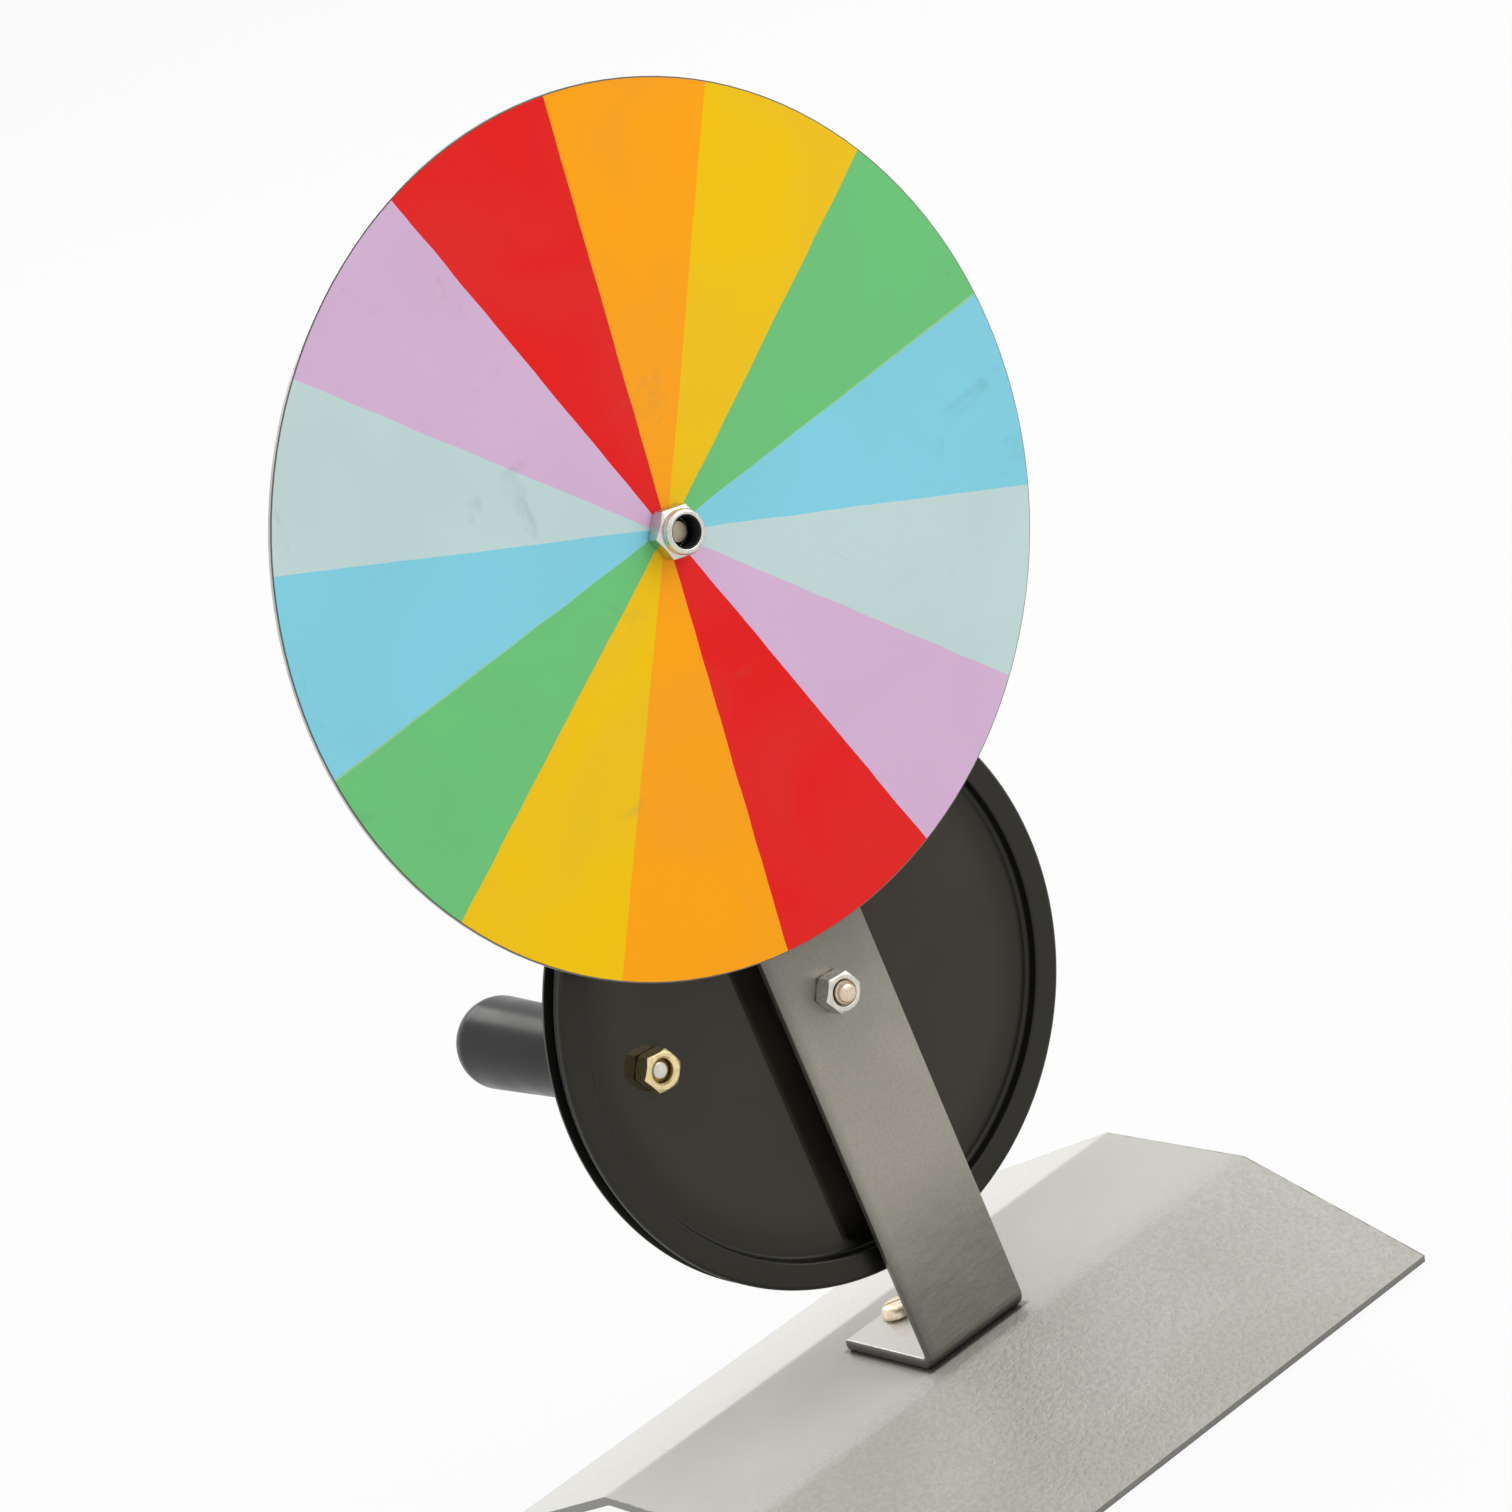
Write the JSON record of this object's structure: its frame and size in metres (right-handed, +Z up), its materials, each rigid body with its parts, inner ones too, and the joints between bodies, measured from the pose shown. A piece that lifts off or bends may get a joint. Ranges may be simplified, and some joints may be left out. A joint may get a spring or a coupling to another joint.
{
  "type": "hand-driven newton colour disc",
  "caption": "Free-standing colour disc on a folded steel base; a cranked pulley wheel with a grip drives the disc's spindle through a round belt.",
  "frame": {"origin": "on the table, under the disc's middle and half way between the base's front and back edges", "axes": "+X along the base and across the disc, +Y away from the viewer (the disc faces -Y), +Z up"},
  "size_m": [0.178, 0.15, 0.299],
  "materials": {
    "base_paint": "light grey paint with a fine grain",
    "strip_steel": "grey paint over brushed strip, satin",
    "yellow_zinc": "yellow-passivated zinc plate",
    "bright_zinc": "bright zinc plate",
    "turned_steel": "turned mild steel",
    "bearing_brass": "turned brass",
    "belt_rubber": "matt black rubber",
    "black_moulding": "satin-gloss black moulding",
    "grip_plastic": "semi-matt black moulding",
    "pulley_aluminium": "turned aluminium",
    "disc_aluminium": "sheet aluminium",
    "printed_sheet": "printed sheet, seven colours in fourteen sectors",
    "nylon": "dark blue nylon"
  },
  "bodies": {
    "stand": {"base_plate": "base_paint", "upright_bracket": "strip_steel", "foot_screw": "yellow_zinc", "foot_washer": "bright_zinc", "foot_nut": "bright_zinc", "axle_bolt": "bright_zinc", "axle_nut": "bright_zinc", "axle_lock_nut": "bright_zinc", "axle_washers": "bright_zinc", "spindle_bush": "bearing_brass", "drive_belt": "belt_rubber"},
    "drive_wheel": {"drive_wheel": "black_moulding", "wheel_bush": "bearing_brass", "crank_bolt": "bright_zinc", "crank_nut": "yellow_zinc", "crank_lock_nut": "bright_zinc", "crank_washers": "bright_zinc"},
    "crank_handle": {"handle_grip": "grip_plastic"},
    "disc_spindle": {"spindle": "turned_steel", "small_pulley": "pulley_aluminium", "pulley_screw": "turned_steel", "spindle_washer": "bright_zinc", "backing_nut": "bright_zinc", "disc_washer": "bright_zinc", "disc_plate": "disc_aluminium", "disc_face": "printed_sheet", "hub_nut": "bright_zinc", "nylon_ring": "nylon"}
  },
  "joints": [
    {"name": "crank_turn", "type": "hinge", "parent": "stand", "child": "drive_wheel", "pos_m": [0, -0.0129, 0.1045], "axis": [0, 1, 0], "continuous": true},
    {"name": "grip_spin", "type": "hinge", "parent": "drive_wheel", "child": "crank_handle", "pos_m": [-0.04123, 0, 0.1092], "axis": [0, 1, 0], "continuous": true},
    {"name": "disc_spin", "type": "hinge", "parent": "stand", "child": "disc_spindle", "pos_m": [0, -0.0129, 0.21], "axis": [0, 1, 0], "continuous": true}
  ],
  "couplings": [
    {"joint": "disc_spin", "follows": "crank_turn", "ratio": 7.5}
  ]
}
